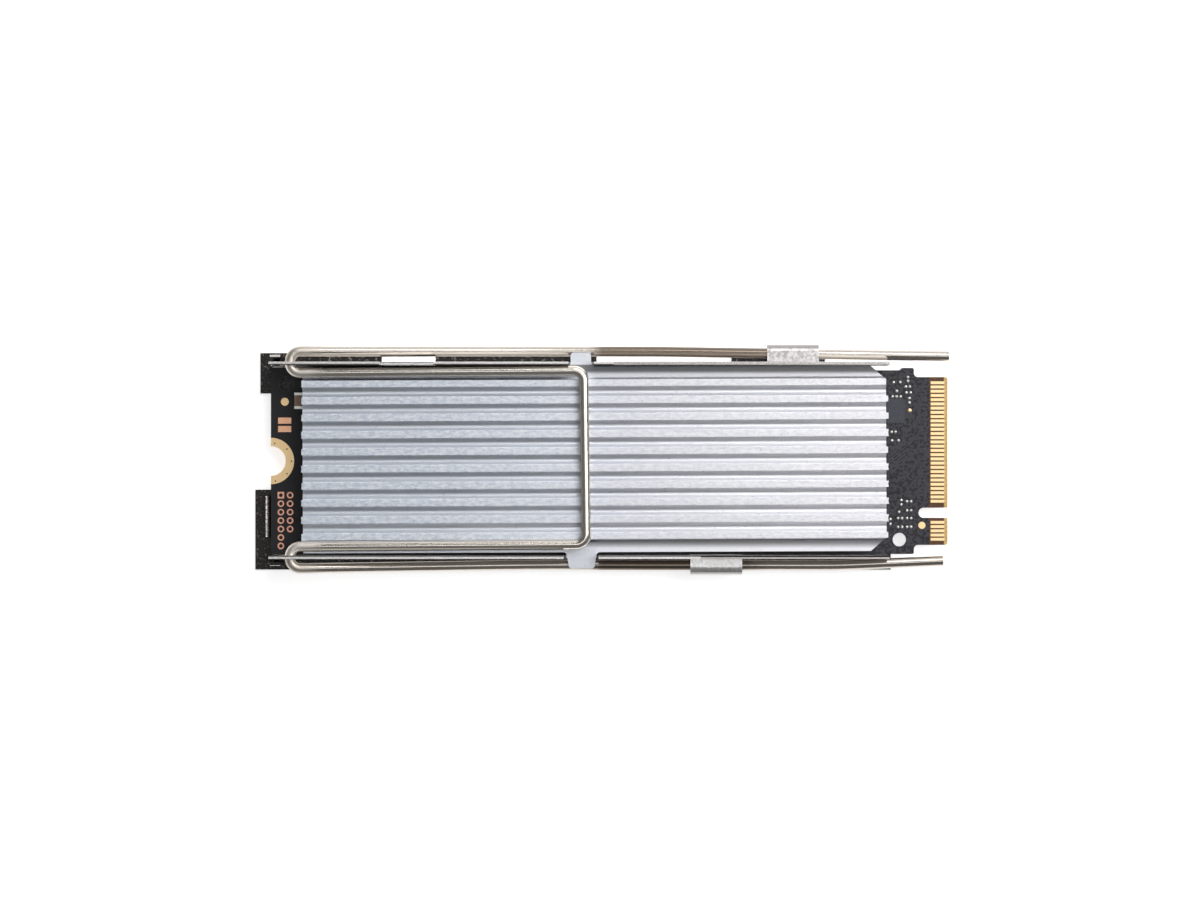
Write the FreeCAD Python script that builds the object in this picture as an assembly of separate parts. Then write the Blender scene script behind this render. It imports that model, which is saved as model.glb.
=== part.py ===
import FreeCAD, Part
import math
import os

# A plug-in solid-state drive board in its clip-on cooler. Millimetres, +Z up.
# The origin is under the middle of the board, on the underside of the insulating film.
# The edge contacts point along +X, and the wire clip's crossbar lies along Y.

Vector = FreeCAD.Vector
TINY = 1e-6

# Circuit board
board_length = 80.0
board_width = 22.0
board_thickness = 0.8
board_corner_radius = 0.2
tongue_length = 4.0
tongue_shoulder = 1.075
tongue_root_radius = 0.5
tongue_corner_radius = 0.3
bevel_length = 0.4
bevel_depth = 0.2
key_width = 1.2
key_depth = 3.45
screw_notch_radius = 1.75
edge_bump_length = 1.4
edge_relief_length = 16.0
edge_relief_depth = 0.27
locating_hole_radius = 0.82
locating_hole_inset_x = 1.75
locating_hole_inset_y = 1.9
tooling_hole_radius = 0.8
tooling_hole_inset_x = 5.7
tooling_hole_inset_y = 1.7

# Copper and plating on the board
plating_thickness = 0.04
contact_edge_margin = 0.675
contact_width = 0.33
contact_length = 1.62
long_row_count = 29
short_row_count = 5
key_contact_count = 4
key_middle_pitches = 2.75
screw_ring_radius = 2.75
small_fiducial_radius = 0.42
large_fiducial_radius = 0.47
large_fiducial_inset_x = 1.65
large_fiducial_inset_y = 4.0
small_fiducial_inset_x = 3.05
small_fiducial_inset_y = 3.4
test_pad_length = 1.55
test_pad_width = 0.72
test_pad_gap = 0.27
test_pad_inset_x = 0.85
test_pad_offset_y = 3.42
header_pitch = 1.0
header_column_gap = 1.09
header_pad_radius = 0.39
header_hole_radius = 0.23
header_inset_x = 1.18
header_last_row_inset = 0.96
header_outer_count = 7
header_inner_count = 5

# Sheets and pads stacked under and over the board
film_thickness = 0.25
sheet_thickness = 0.4
lower_pad_thickness = 0.75
upper_pad_thickness = 0.5
pad_side_margin = 1.5
pad_left_margin = 3.0
pad_right_margin = 2.5

# How the board's free length is shared: left of the flash chips, between them, and on to the right end
left_share = 0.27
flash_gap_share = 0.06
cache_gap_share = 0.09
right_share = 0.36

# Chips and small parts on the board
chip_height = 1.2
flash_length = 12.0
flash_side_margin = 2.0
cache_length = 9.0
cache_side_margin = 4.5
controller_side = 14.0
power_chip_side = 4.0
power_chip_height = 0.8
power_chip_overhang_y = 1.0
inductor_side = 2.5
inductor_height = 1.1
inductor_spacing = 3.2
first_inductor_y = -1.4
small_part_length = 1.0
small_part_width = 0.5
small_part_height = 0.5
capacitor_pitch = 1.5
capacitor_column_gap = 0.55
capacitor_column_count = 9
resistor_pitch = 1.4
resistor_edge_margin = 0.65
resistor_row_count = 6
edge_part_pitch = 2.05
edge_part_count = 3
edge_part_first_y = -2.3
large_capacitor_length = 1.9
large_capacitor_width = 1.25
large_capacitor_height = 1.2
large_capacitor_cap = 0.3
large_capacitor_inset_x = 2.85
large_capacitor_y = 7.11

# Ribbed heatsink
sink_left_inset = 4.0
sink_right_inset = 7.5
sink_upper_gap = 0.15
sink_lower_gap = 0.35
sink_skew_angle = 0.25
sink_base_thickness = 1.3
sink_corner_length = 1.8
sink_corner_depth = 1.6
fin_count = 10
edge_flange_width = 1.465
fin_width = 0.87
fin_height = 0.8
fin_edge_radius = 0.12
groove_side_slope = 42
groove_root_share = 0.4
flange_root_radius = 0.3
ear_offset_x = -1.55
upper_ear_root_width = 2.4
upper_ear_end_width = 2.4
upper_ear_reach = 1.66
lower_ear_root_width = 3.5
lower_ear_end_width = 3.0
lower_ear_reach = 1.9
ear_root_radius = 0.5
ear_end_radius = 0.4

# Folded base channel
channel_shift_y = 0.1
channel_fit = 0.3
channel_left_inset = 0.1
channel_right_inset = 7.2
bend_radius = 0.4
wall_strip = 0.4
wall_corner_radius = 0.3
floor_notch_low_y = -3.4
floor_notch_high_y = 10.2
floor_notch_depth = 3.1
floor_relief_length = 2.3
floor_relief_width = 0.95
stop_width = 4.85
stop_middle_y = -6.55
stop_gap = 0.2
stop_rise = 0.15
ear_slot_gap = 0.3
hook_width = 6.1
hook_inner_radius = 0.5
hook_lip = 0.3
hook_gap = 0.08
lance_gap = 0.1
upper_hook_inset = 11.15
lower_hook_inset = 20.2
rest_tab_inset = 16.25
rest_tab_width = 6.3
rest_tab_reach = 1.75
rest_tab_gap = 0.12
flap_length = 1.2
flap_height = 1.47
flap_angle = 30.0
flap_drop = 0.34

# Insulating film under the channel
film_upper_overhang = 1.15
film_lower_overhang = 1.44
film_notch_low_y = -3.4
film_notch_high_y = 8.0
film_left_upper_overhang = 1.4
film_left_lower_overhang = 2.0
film_right_overhang = 0.6
film_ear_margin = 1.8
film_hook_left_margin = 7.15
film_hook_right_margin = 3.95
film_step_inset = 0.55
film_back_gap = 0.2

# Spring wire clip, latched
clip_wire_radius = 0.6
clip_clearance = 0.05
slot_clearance = 0.1
pivot_inset = 2.45
pivot_rise = 0.2
pivot_bend_radius = 1.2
crossbar_bend_radius = 1.2
arm_bend_radius = 100.0
knee_to_ear = 5.7
arm_ear_clearance = 0.2
arm_drop = 0.5

# The upper arm's distances outside its wall, and the upper inner run's inside it
upper_pivot_out = 1.23
upper_knee_out = 1.28
upper_bow_out = 1.25
upper_end_out = 0.73
upper_inner_in = 0.91
upper_corner_in = 0.65
upper_bow_to_hook = 15.65
upper_arm_overhang = 0.1
upper_corner_past_ear = 0.33

# The same for the lower arm and the lower inner run
lower_pivot_out = 1.15
lower_knee_out = 0.8
lower_bow_out = 0.88
lower_end_out = 0.35
lower_inner_in = 1.02
lower_corner_in = 1.3
lower_bow_past_hook = 14.4
lower_arm_overhang = -0.6
lower_corner_past_ear = 0.61

# Heights worked out from the stack
floor_bottom = film_thickness
floor_top = floor_bottom + sheet_thickness
board_bottom = floor_top + lower_pad_thickness
board_top = board_bottom + board_thickness
chip_top = board_top + chip_height
sink_bottom = chip_top + upper_pad_thickness
flange_top = sink_bottom + sink_base_thickness
fin_top = flange_top + fin_height
pivot_z = fin_top + pivot_rise
slot_radius = clip_wire_radius + slot_clearance
wall_top = pivot_z + slot_radius + wall_strip
crossbar_z = fin_top + clip_clearance + clip_wire_radius
knee_z = sink_bottom - arm_ear_clearance - clip_wire_radius
arm_end_z = knee_z - arm_drop

# Places worked out from the board
board_left = -board_length / 2
board_right = board_length / 2
board_side = board_width / 2
wall_inner = (board_width + channel_fit) / 2
wall_outer = wall_inner + sheet_thickness
channel_left = board_left + channel_left_inset
channel_right = board_right - channel_right_inset
sink_left = board_left + sink_left_inset
sink_right = board_right - sink_right_inset
sink_high_y = channel_shift_y + wall_inner - sink_upper_gap
sink_low_y = channel_shift_y - wall_inner + sink_lower_gap
ear_x = (sink_left + sink_right) / 2 + ear_offset_x
upper_hook_x = channel_right - upper_hook_inset
lower_hook_x = channel_right - lower_hook_inset
rest_tab_x = channel_left + rest_tab_inset
pivot_x = channel_left + pivot_inset
knee_x = ear_x - knee_to_ear
upper_bow_x = upper_hook_x - upper_bow_to_hook
lower_bow_x = lower_hook_x + lower_bow_past_hook
upper_end_x = board_right + upper_arm_overhang
lower_end_x = board_right + lower_arm_overhang

# Sizes worked out from the widths
tongue_width = board_width - 2 * tongue_shoulder
contact_outer_offset = tongue_width / 2 - contact_edge_margin
contact_count = long_row_count + key_contact_count + short_row_count
contact_pitch = 2 * contact_outer_offset / (contact_count - 1)
key_middle_y = contact_outer_offset - (long_row_count - 1 + key_middle_pitches) * contact_pitch
flash_width = board_width - 2 * flash_side_margin
cache_width = board_width - 2 * cache_side_margin
pad_width = board_width - 2 * pad_side_margin
fin_span = sink_high_y - sink_low_y - 2 * edge_flange_width - fin_width
fin_pitch = fin_span / (fin_count - 1)
groove_width = fin_pitch - fin_width
groove_root_radius = groove_root_share * groove_width
groove_corner_z = fin_top - groove_width / 2 * math.tan(math.radians(groove_side_slope))

# The board's free length, shared out around the chips
spare_length = board_length - 2 * flash_length - cache_length - controller_side
flash_gap = spare_length * flash_gap_share
cache_gap = spare_length * cache_gap_share
flash_left = board_left + spare_length * left_share
second_flash_left = flash_left + flash_length + flash_gap
cache_left = second_flash_left + flash_length + cache_gap
cache_right = cache_left + cache_length
controller_right = board_right - spare_length * right_share
controller_left = controller_right - controller_side
power_column_left = cache_right + capacitor_column_gap + small_part_width
power_x = (power_column_left + controller_left) / 2


def box(x_low, x_high, y_low, y_high, z_low, z_high):
    corner = Vector(x_low, y_low, z_low)
    return Part.makeBox(x_high - x_low, y_high - y_low, z_high - z_low, corner)


def centred_box(x, y, length, width, z_low, z_high):
    half_length = length / 2
    half_width = width / 2
    return box(x - half_length, x + half_length, y - half_width, y + half_width, z_low, z_high)


def disc(x, y, radius, z_low, z_high):
    return Part.makeCylinder(radius, z_high - z_low, Vector(x, y, z_low))


def corner_arc(before, corner, after, radius):
    """The tangent points of a rounded corner, and the point half way round it"""
    back = (before - corner).normalize()
    ahead = (after - corner).normalize()
    half_turn = (math.pi - back.getAngle(ahead)) / 2
    setback = radius * math.tan(half_turn)
    inward = (back + ahead).normalize()
    centre = corner + inward * (radius / math.cos(half_turn))
    return corner + back * setback, centre - inward * radius, corner + ahead * setback


def add_run(edges, start, end):
    if start.distanceToPoint(end) > TINY:
        edges.append(Part.LineSegment(start, end).toShape())


def outline(corners, place):
    """A closed face whose corners are (first, second, radius), put in space by place"""
    points = [place(first, second) for first, second, _ in corners]
    marks = []
    for index, (_, _, radius) in enumerate(corners):
        corner = points[index]
        if radius > 0:
            following = points[(index + 1) % len(points)]
            marks.append(corner_arc(points[index - 1], corner, following, radius))
        else:
            marks.append((corner, None, corner))
    edges = []
    for index, (arc_start, middle, arc_end) in enumerate(marks):
        add_run(edges, marks[index - 1][2], arc_start)
        if middle is not None:
            edges.append(Part.Arc(arc_start, middle, arc_end).toShape())
    return Part.Face(Part.Wire(Part.__sortEdges__(edges)))


def plate(corners, z_low, z_high):
    face = outline(corners, lambda x, y: Vector(x, y, z_low))
    return face.extrude(Vector(0, 0, z_high - z_low))


def bar_along_x(corners, x_low, x_high):
    face = outline(corners, lambda y, z: Vector(x_low, y, z))
    return face.extrude(Vector(x_high - x_low, 0, 0))


def bar_along_y(corners, y_low, y_high):
    face = outline(corners, lambda x, z: Vector(x, y_low, z))
    return face.extrude(Vector(0, y_high - y_low, 0))


def board_edge(side):
    """The long edge on one side, from the plain left end to the shoulder"""
    shoulder = board_right - tongue_length
    bump = shoulder - edge_bump_length
    relief = bump - edge_relief_length
    edge = side * board_side
    relieved = edge - side * edge_relief_depth
    corners = [(board_left, edge, board_corner_radius)]
    if side > 0:
        corners += [
            (relief, edge, 0),
            (relief + edge_relief_depth, relieved, 0),
            (bump - edge_relief_depth, relieved, 0),
            (bump, edge, 0),
        ]
    corners.append((shoulder, edge, board_corner_radius))
    corners.append((shoulder, side * tongue_width / 2, tongue_root_radius))
    corners.append((board_right, side * tongue_width / 2, tongue_corner_radius))
    return corners


def key_notch():
    low = key_middle_y - key_width / 2
    high = key_middle_y + key_width / 2
    deep = board_right - key_depth
    round_end = key_width / 2
    return [(board_right, low, 0), (deep, low, round_end), (deep, high, round_end), (board_right, high, 0)]


def tip_bevel(z_face, direction):
    corners = [
        (board_right - bevel_length, z_face, 0),
        (board_right, z_face, 0),
        (board_right, z_face - direction * bevel_depth, 0),
    ]
    return bar_along_y(corners, -board_side, board_side)


def header_places():
    """The plated holes: a long column by the board's end, and a shorter one beside it"""
    outer_x = board_left + header_inset_x
    first_y = header_last_row_inset - board_side + (header_outer_count - 1) * header_pitch
    columns = [(outer_x, header_outer_count), (outer_x + header_column_gap, header_inner_count)]
    return [(x, first_y - row * header_pitch) for x, count in columns for row in range(count)]


def circuit_board():
    corners = board_edge(-1) + key_notch() + board_edge(1)[::-1]
    board = plate(corners, board_bottom, board_top)
    holes = [disc(board_left, 0, screw_notch_radius, board_bottom, board_top)]
    locating_x = board_left + locating_hole_inset_x
    locating_y = board_side - locating_hole_inset_y
    holes.append(disc(locating_x, locating_y, locating_hole_radius, board_bottom, board_top))
    tooling_x = board_right - tooling_hole_inset_x
    tooling_y = tooling_hole_inset_y - board_side
    holes.append(disc(tooling_x, tooling_y, tooling_hole_radius, board_bottom, board_top))
    sleeve_radius = header_hole_radius + plating_thickness
    holes += [disc(x, y, sleeve_radius, board_bottom, board_top) for x, y in header_places()]
    bevels = [tip_bevel(board_top, 1), tip_bevel(board_bottom, -1)]
    return board.cut(holes + bevels)


def contact_row(first_y, count, z_low):
    x_high = board_right - bevel_length
    x_middle = x_high - contact_length / 2
    rows = [first_y - index * contact_pitch for index in range(count)]
    return [
        centred_box(x_middle, y, contact_length, contact_width, z_low, z_low + plating_thickness)
        for y in rows
    ]


def top_contacts():
    short_row_y = (short_row_count - 1) * contact_pitch - contact_outer_offset
    long_row = contact_row(contact_outer_offset, long_row_count, board_top)
    return Part.makeCompound(long_row + contact_row(short_row_y, short_row_count, board_top))


def bottom_contacts():
    """The far side's contacts sit half a pitch over, with one fewer in the short row"""
    stagger = contact_pitch / 2
    z_low = board_bottom - plating_thickness
    short_row_y = (short_row_count - 1) * contact_pitch - contact_outer_offset - stagger
    long_row = contact_row(contact_outer_offset - stagger, long_row_count, z_low)
    return Part.makeCompound(long_row + contact_row(short_row_y, short_row_count - 1, z_low))


def half_ring(z_low):
    z_high = z_low + plating_thickness
    ring = disc(board_left, 0, screw_ring_radius, z_low, z_high)
    bore = disc(board_left, 0, screw_notch_radius, z_low, z_high)
    inside = box(board_left, board_right, -board_side, board_side, z_low, z_high)
    return ring.cut(bore).common(inside)


def screw_rings():
    return Part.makeCompound([half_ring(board_top), half_ring(board_bottom - plating_thickness)])


def fiducial_marks():
    z_high = board_top + plating_thickness
    large_x = board_left + large_fiducial_inset_x
    large_y = board_side - large_fiducial_inset_y
    small_x = board_right - small_fiducial_inset_x
    small_y = small_fiducial_inset_y - board_side
    return Part.makeCompound([
        disc(large_x, large_y, large_fiducial_radius, board_top, z_high),
        disc(small_x, small_y, small_fiducial_radius, board_top, z_high),
    ])


def test_pads():
    x_low = board_left + test_pad_inset_x
    x_high = x_low + test_pad_length
    z_high = board_top + plating_thickness
    pads = []
    for index in range(2):
        y_low = test_pad_offset_y + index * (test_pad_width + test_pad_gap)
        pads.append(box(x_low, x_high, y_low, y_low + test_pad_width, board_top, z_high))
    return Part.makeCompound(pads)


def header_sleeve(x, y, square):
    """A plated hole: a thin barrel with a pad on each face of the board"""
    low = board_bottom - plating_thickness
    high = board_top + plating_thickness
    side = 2 * header_pad_radius
    pads = []
    for z_low, z_high in ((low, board_bottom), (board_top, high)):
        if square:
            pads.append(centred_box(x, y, side, side, z_low, z_high))
        else:
            pads.append(disc(x, y, header_pad_radius, z_low, z_high))
    barrel = disc(x, y, header_hole_radius + plating_thickness, board_bottom, board_top)
    return barrel.fuse(pads).cut(disc(x, y, header_hole_radius, low, high)).removeSplitter()


def header_pads():
    places = header_places()
    return Part.makeCompound([header_sleeve(x, y, index == 0) for index, (x, y) in enumerate(places)])


def insulating_film():
    """A black sheet under the channel, cut away at the screw notch and beside the hooks"""
    upper = channel_shift_y + wall_outer + film_upper_overhang
    lower = channel_shift_y - wall_outer - film_lower_overhang
    flush = channel_shift_y + wall_outer
    step = channel_shift_y + wall_inner - film_step_inset
    notch_x = board_left + floor_notch_depth + film_back_gap
    left_upper = board_left - film_left_upper_overhang
    left_lower = board_left - film_left_lower_overhang
    right = channel_right + film_right_overhang
    ear_side = ear_x + film_ear_margin
    hook_left = upper_hook_x - film_hook_left_margin
    hook_right = upper_hook_x + film_hook_right_margin
    corners = [
        (left_lower, lower, 0),
        (right, lower, 0),
        (right, step, 0),
        (hook_right, step, 0),
        (hook_right, upper, 0),
        (hook_left, upper, 0),
        (hook_left, flush, 0),
        (ear_side, flush, 0),
        (ear_side, upper, 0),
        (left_upper, upper, 0),
        (left_upper, film_notch_high_y, 0),
        (notch_x, film_notch_high_y, 0),
        (notch_x, film_notch_low_y, 0),
        (left_lower, film_notch_low_y, 0),
    ]
    return plate(corners, 0, film_thickness)


def wall_bar(side, corners, x_low, x_high):
    """A bar along one wall, whose corners are (outward from the wall's inner face, height, radius)"""
    placed = [(channel_shift_y + side * (wall_inner + out), z, radius) for out, z, radius in corners]
    return bar_along_x(placed, x_low, x_high)


def wall_cut(side, x_low, x_high, z_low, z_high):
    """A tool that takes a rectangle out of one wall"""
    near = channel_shift_y + side * (wall_inner - bend_radius)
    far = channel_shift_y + side * (wall_outer + bend_radius)
    return box(x_low, x_high, min(near, far), max(near, far), z_low, z_high)


def channel_trough():
    outer_radius = bend_radius + sheet_thickness
    corners = [
        (channel_shift_y - wall_outer, wall_top, 0),
        (channel_shift_y - wall_outer, floor_bottom, outer_radius),
        (channel_shift_y + wall_outer, floor_bottom, outer_radius),
        (channel_shift_y + wall_outer, wall_top, 0),
        (channel_shift_y + wall_inner, wall_top, 0),
        (channel_shift_y + wall_inner, floor_top, bend_radius),
        (channel_shift_y - wall_inner, floor_top, bend_radius),
        (channel_shift_y - wall_inner, wall_top, 0),
    ]
    return bar_along_x(corners, channel_left, channel_right)


def between(x, x_start, start, x_end, end):
    """The value at x on a straight line between two places"""
    return start + (end - start) * (x - x_start) / (x_end - x_start)


def arm_height(x):
    """The height of the clip's arms over the hooks' stretch"""
    return between(x, knee_x, knee_z, upper_end_x, arm_end_z)


def hook_underside(x):
    return arm_height(x - hook_width / 2) + clip_wire_radius + hook_gap


def hook_reach(arm_out):
    """How far a hook reaches from the wall's inner face to hold an arm that lies so far outside it"""
    return 2 * sheet_thickness + arm_out + clip_wire_radius + hook_gap


def hook(side, x, reach):
    """A strap lanced out of the wall, over the arm and down past its outer side"""
    under = hook_underside(x)
    outer_radius = hook_inner_radius + sheet_thickness
    lip_end = under + sheet_thickness - outer_radius - hook_lip
    corners = [
        (0, under, 0),
        (reach - sheet_thickness, under, hook_inner_radius),
        (reach - sheet_thickness, lip_end, 0),
        (reach, lip_end, 0),
        (reach, under + sheet_thickness, outer_radius),
        (0, under + sheet_thickness, 0),
    ]
    return wall_bar(side, corners, x - hook_width / 2, x + hook_width / 2)


def hook_window(side, x, reach):
    """The opening that the strap left, as tall as the strap is long"""
    under = hook_underside(x)
    outer_radius = hook_inner_radius + sheet_thickness
    flat = reach - sheet_thickness - outer_radius
    curl = math.pi / 2 * (hook_inner_radius + sheet_thickness / 2)
    z_low = under - flat - curl - hook_lip
    half_width = hook_width / 2 + lance_gap
    return wall_cut(side, x - half_width, x + half_width, z_low, under)


def rest_tab_top():
    """Just below the upper arm where it is lowest over the tab"""
    slope = (pivot_z - knee_z) / (knee_x - pivot_x)
    arm_z = pivot_z - slope * (rest_tab_x + rest_tab_width / 2 - pivot_x)
    return arm_z - clip_wire_radius - rest_tab_gap


def rest_tab():
    top = rest_tab_top()
    low = top - sheet_thickness
    corners = [(0, low, 0), (rest_tab_reach, low, 0), (rest_tab_reach, top, 0), (0, top, 0)]
    return wall_bar(1, corners, rest_tab_x - rest_tab_width / 2, rest_tab_x + rest_tab_width / 2)


def rest_tab_window():
    top = rest_tab_top()
    half_width = rest_tab_width / 2 + lance_gap
    length = rest_tab_reach - sheet_thickness
    return wall_cut(1, rest_tab_x - half_width, rest_tab_x + half_width, top, top + length)


def flap(side):
    """The wall's left end below the clip's slot, flared outward"""
    top = pivot_z - slot_radius - flap_drop
    low = top - flap_height
    lean = flap_height * math.tan(math.radians(flap_angle))
    corners = [(0, low, 0), (sheet_thickness, low, 0), (sheet_thickness + lean, top, 0), (lean, top, 0)]
    return wall_bar(side, corners, channel_left, channel_left + flap_length)


def flap_window(side):
    low = pivot_z - slot_radius - flap_drop - flap_height
    return wall_cut(side, channel_left, channel_left + flap_length, low, pivot_z + slot_radius)


def clip_slot(side):
    """The slot that the clip's wire turns in, open to the wall's left end"""
    slot = wall_cut(side, channel_left, pivot_x, pivot_z - slot_radius, pivot_z + slot_radius)
    near = channel_shift_y + side * (wall_inner - bend_radius)
    depth = sheet_thickness + 2 * bend_radius
    end = Part.makeCylinder(slot_radius, depth, Vector(pivot_x, near, pivot_z), Vector(0, side, 0))
    return slot.fuse(end)


def ear_width(side):
    return upper_ear_root_width if side > 0 else lower_ear_root_width


def ear_slot(side):
    """The notch in the wall's top that the heatsink's ear drops into"""
    half_width = ear_width(side) / 2 + ear_slot_gap
    z_low = sink_bottom - ear_slot_gap
    low_x = ear_x - half_width
    high_x = ear_x + half_width
    corners = [
        (low_x, z_low, wall_corner_radius),
        (high_x, z_low, wall_corner_radius),
        (high_x, wall_top, 0),
        (low_x, wall_top, 0),
    ]
    middle = channel_shift_y + side * (wall_inner + wall_outer) / 2
    half_depth = sheet_thickness / 2 + bend_radius
    return bar_along_y(corners, middle - half_depth, middle + half_depth)


def end_stop():
    """A small upturned tab at the floor's left end that the board butts against"""
    right_face = board_left - stop_gap
    left_face = right_face - sheet_thickness
    inner_radius = stop_gap / 2
    z_top = board_top + stop_rise
    corners = [
        (channel_left, floor_bottom, 0),
        (left_face, floor_bottom, inner_radius + sheet_thickness),
        (left_face, z_top, 0),
        (right_face, z_top, 0),
        (right_face, floor_top, inner_radius),
        (channel_left, floor_top, 0),
    ]
    return bar_along_y(corners, stop_middle_y - stop_width / 2, stop_middle_y + stop_width / 2)


def floor_notch():
    """The floor is cut back so that a screw can reach the board's notch"""
    notch_x = board_left + floor_notch_depth
    return box(channel_left, notch_x, floor_notch_low_y, floor_notch_high_y, floor_bottom, floor_top)


def floor_relief():
    """The floor is cut back along the upper wall's right end"""
    y_high = channel_shift_y + wall_outer
    x_low = channel_right - floor_relief_length
    z_high = floor_top + bend_radius
    return box(x_low, channel_right, y_high - floor_relief_width, y_high, floor_bottom, z_high)


def base_channel():
    upper_out = between(upper_hook_x, upper_bow_x, upper_bow_out, upper_end_x, upper_end_out)
    lower_out = between(lower_hook_x, knee_x, lower_knee_out, lower_bow_x, lower_bow_out)
    hooks = ((1, upper_hook_x, hook_reach(upper_out)), (-1, lower_hook_x, hook_reach(lower_out)))
    cuts = [floor_notch(), floor_relief(), rest_tab_window()]
    added = [end_stop(), rest_tab()]
    for side, x, reach in hooks:
        cuts += [hook_window(side, x, reach), flap_window(side), clip_slot(side), ear_slot(side)]
        added += [hook(side, x, reach), flap(side)]
    return channel_trough().cut(cuts).fuse(added).removeSplitter()


def thermal_pad(z_low, z_high):
    x_low = sink_left + pad_left_margin
    x_high = sink_right - pad_right_margin
    return box(x_low, x_high, -pad_width / 2, pad_width / 2, z_low, z_high)


def chip(x, y, length, width, height):
    return centred_box(x, y, length, width, board_top, board_top + height)


def inductors():
    rows = [first_inductor_y + index * inductor_spacing for index in range(3)]
    return Part.makeCompound([chip(power_x, y, inductor_side, inductor_side, inductor_height) for y in rows])


def capacitors():
    """Columns of small parts between the chips, and a few by the board's left end"""
    parts = []
    first_y = (capacitor_column_count - 1) * capacitor_pitch / 2
    column_offset = capacitor_column_gap + small_part_width / 2
    columns = [
        second_flash_left - flash_gap / 2,
        cache_left - cache_gap / 2,
        cache_right + column_offset,
        controller_right + column_offset,
    ]
    for x in columns:
        for index in range(capacitor_column_count):
            y = first_y - index * capacitor_pitch
            parts.append(chip(x, y, small_part_width, small_part_length, small_part_height))
    for index in range(edge_part_count):
        y = edge_part_first_y - index * edge_part_pitch
        parts.append(chip(sink_left, y, small_part_width, small_part_length, small_part_height))
    return Part.makeCompound(parts)


def resistors():
    """Short rows of small flat parts along the board's lower edge"""
    parts = []
    y = resistor_edge_margin + small_part_width / 2 - board_side
    for first_x in (flash_left, second_flash_left, controller_left):
        for index in range(resistor_row_count):
            x = first_x + index * resistor_pitch
            parts.append(chip(x, y, small_part_length, small_part_width, small_part_height))
    return Part.makeCompound(parts)


def large_capacitor_x():
    return board_left + large_capacitor_inset_x + large_capacitor_width / 2


def large_capacitor_body():
    length = large_capacitor_length - 2 * large_capacitor_cap
    x = large_capacitor_x()
    return chip(x, large_capacitor_y, large_capacitor_width, length, large_capacitor_height)


def large_capacitor_ends():
    offset = (large_capacitor_length - large_capacitor_cap) / 2
    x = large_capacitor_x()
    ends = []
    for y in (large_capacitor_y - offset, large_capacitor_y + offset):
        ends.append(chip(x, y, large_capacitor_width, large_capacitor_cap, large_capacitor_height))
    return Part.makeCompound(ends)


def heatsink_section():
    """The extruded section: flat ribs, shallow rounded grooves between them, and a lower flange each side"""
    half_fin = fin_width / 2
    first_y = (sink_low_y + sink_high_y + fin_span) / 2
    last_y = first_y - fin_span
    corners = [(sink_low_y, sink_bottom, 0), (sink_high_y, sink_bottom, 0), (sink_high_y, flange_top, 0)]
    corners.append((first_y + half_fin, flange_top, flange_root_radius))
    for index in range(fin_count):
        y = first_y - index * fin_pitch
        corners.append((y + half_fin, fin_top, fin_edge_radius))
        corners.append((y - half_fin, fin_top, fin_edge_radius))
        if index < fin_count - 1:
            corners.append((y - fin_pitch / 2, groove_corner_z, groove_root_radius))
    corners.append((last_y - half_fin, flange_top, flange_root_radius))
    corners.append((sink_low_y, flange_top, 0))
    return corners


def sink_edge(side):
    return sink_high_y if side > 0 else sink_low_y


def ear(side, root_width, end_width, reach):
    """A tab from the base plate's edge, through the wall's notch and over the clip's arm"""
    root_y = sink_edge(side)
    end_y = root_y + side * reach
    inner_y = root_y - side * sink_base_thickness
    half_root = root_width / 2
    half_end = end_width / 2
    spread = half_root + 2 * ear_root_radius
    corners = [
        (ear_x - spread, inner_y, 0),
        (ear_x - spread, root_y, 0),
        (ear_x - half_root, root_y, ear_root_radius),
        (ear_x - half_end, end_y, ear_end_radius),
        (ear_x + half_end, end_y, ear_end_radius),
        (ear_x + half_root, root_y, ear_root_radius),
        (ear_x + spread, root_y, 0),
        (ear_x + spread, inner_y, 0),
    ]
    return plate(corners, sink_bottom, flange_top)


def corner_chamfer(side):
    y = sink_edge(side)
    corners = [
        (sink_right, y, 0),
        (sink_right - sink_corner_length, y, 0),
        (sink_right, y - side * sink_corner_depth, 0),
    ]
    return plate(corners, sink_bottom, fin_top)


def heatsink():
    """The ribbed block with its ears, which sits slightly askew in the channel"""
    body = bar_along_x(heatsink_section(), sink_left, sink_right)
    upper = ear(1, upper_ear_root_width, upper_ear_end_width, upper_ear_reach)
    lower = ear(-1, lower_ear_root_width, lower_ear_end_width, lower_ear_reach)
    whole = body.fuse([upper, lower]).cut([corner_chamfer(1), corner_chamfer(-1)]).removeSplitter()
    middle = Vector((sink_left + sink_right) / 2, (sink_low_y + sink_high_y) / 2, 0)
    return whole.rotated(middle, Vector(0, 0, 1), sink_skew_angle)


def outside(side, out):
    """How far across a place is that lies so far outside one wall"""
    return channel_shift_y + side * (wall_outer + out)


def inside(side, inward):
    return channel_shift_y + side * (wall_inner - inward)


def upper_route():
    """The clip's points on the upper side, from the arm's free end to the crossbar's corner"""
    return [
        Vector(upper_end_x, outside(1, upper_end_out), arm_end_z),
        Vector(upper_bow_x, outside(1, upper_bow_out), arm_height(upper_bow_x)),
        Vector(knee_x, outside(1, upper_knee_out), knee_z),
        Vector(pivot_x, outside(1, upper_pivot_out), pivot_z),
        Vector(pivot_x, inside(1, upper_inner_in), pivot_z),
        Vector(ear_x + upper_corner_past_ear, inside(1, upper_corner_in), crossbar_z),
    ]


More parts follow.
